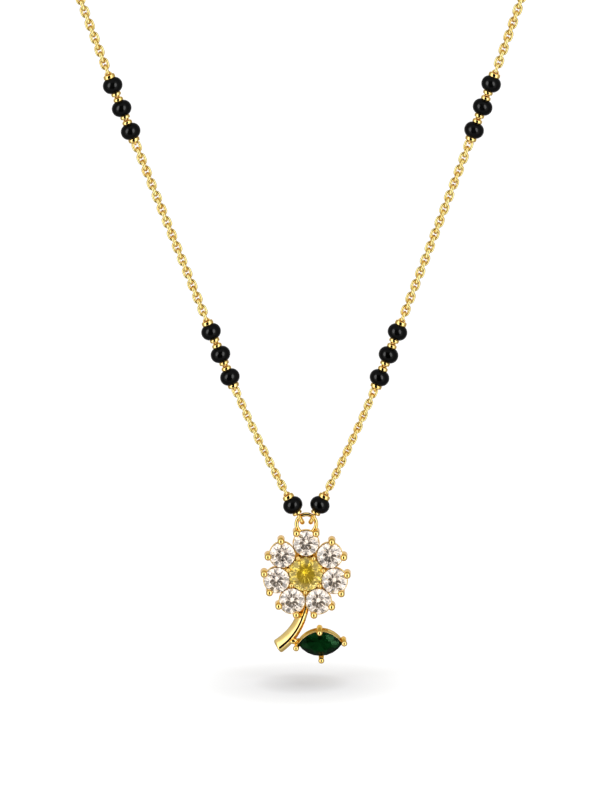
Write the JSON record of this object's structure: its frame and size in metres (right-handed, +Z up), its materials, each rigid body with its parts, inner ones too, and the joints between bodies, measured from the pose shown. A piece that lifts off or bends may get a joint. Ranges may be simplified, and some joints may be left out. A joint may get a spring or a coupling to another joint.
{
  "type": "mangalsutra necklace",
  "caption": "Gold cable-chain mangalsutra with capped black beads and a swinging flower pendant with a stem and a leaf, hanging as a whole loop from the back of the neck.",
  "frame": {"origin": "centre of the clasp at the back of the loop, where it rests on the back of the neck", "axes": "+Z up, +X to the right seen from the front, and the flower faces -Y"},
  "size_m": [0.0994, 0.0985, 0.1327],
  "materials": {
    "gold": "polished yellow gold",
    "black_bead": "glossy",
    "white_stone": "cut and polished",
    "yellow_stone": "cut and polished",
    "green_stone": "cut and polished"
  },
  "bodies": {
    "necklace": {"chain_left_lower": "gold", "chain_left_middle": "gold", "chain_left_upper": "gold", "chain_left_back": "gold", "chain_right_lower": "gold", "chain_right_middle": "gold", "chain_right_upper": "gold", "chain_right_back": "gold", "clasp": "gold", "bead_left_1": "black_bead", "bead_left_2": "black_bead", "bead_left_3": "black_bead", "bead_left_4": "black_bead", "bead_left_5": "black_bead", "bead_left_6": "black_bead", "bead_left_7": "black_bead", "bead_right_1": "black_bead", "bead_right_2": "black_bead", "bead_right_3": "black_bead", "bead_right_4": "black_bead", "bead_right_5": "black_bead", "bead_right_6": "black_bead", "bead_right_7": "black_bead", "pin_left_1": "gold", "pin_left_2": "gold", "pin_left_3": "gold", "pin_left_4": "gold", "pin_left_5": "gold", "pin_left_6": "gold", "pin_left_7": "gold", "pin_right_1": "gold", "pin_right_2": "gold", "pin_right_3": "gold", "pin_right_4": "gold", "pin_right_5": "gold", "pin_right_6": "gold", "pin_right_7": "gold"},
    "pendant": {"pendant_frame": "gold", "petal_stone_1": "white_stone", "petal_stone_2": "white_stone", "petal_stone_3": "white_stone", "petal_stone_4": "white_stone", "petal_stone_5": "white_stone", "petal_stone_6": "white_stone", "petal_stone_7": "white_stone", "centre_stone": "yellow_stone", "leaf_stone": "green_stone"}
  },
  "joints": [
    {"name": "pendant_swing", "type": "hinge", "parent": "necklace", "child": "pendant", "pos_m": [0, -0.096, -0.11217], "axis": [1, 0, 0], "range_deg": [-60, 60]}
  ]
}
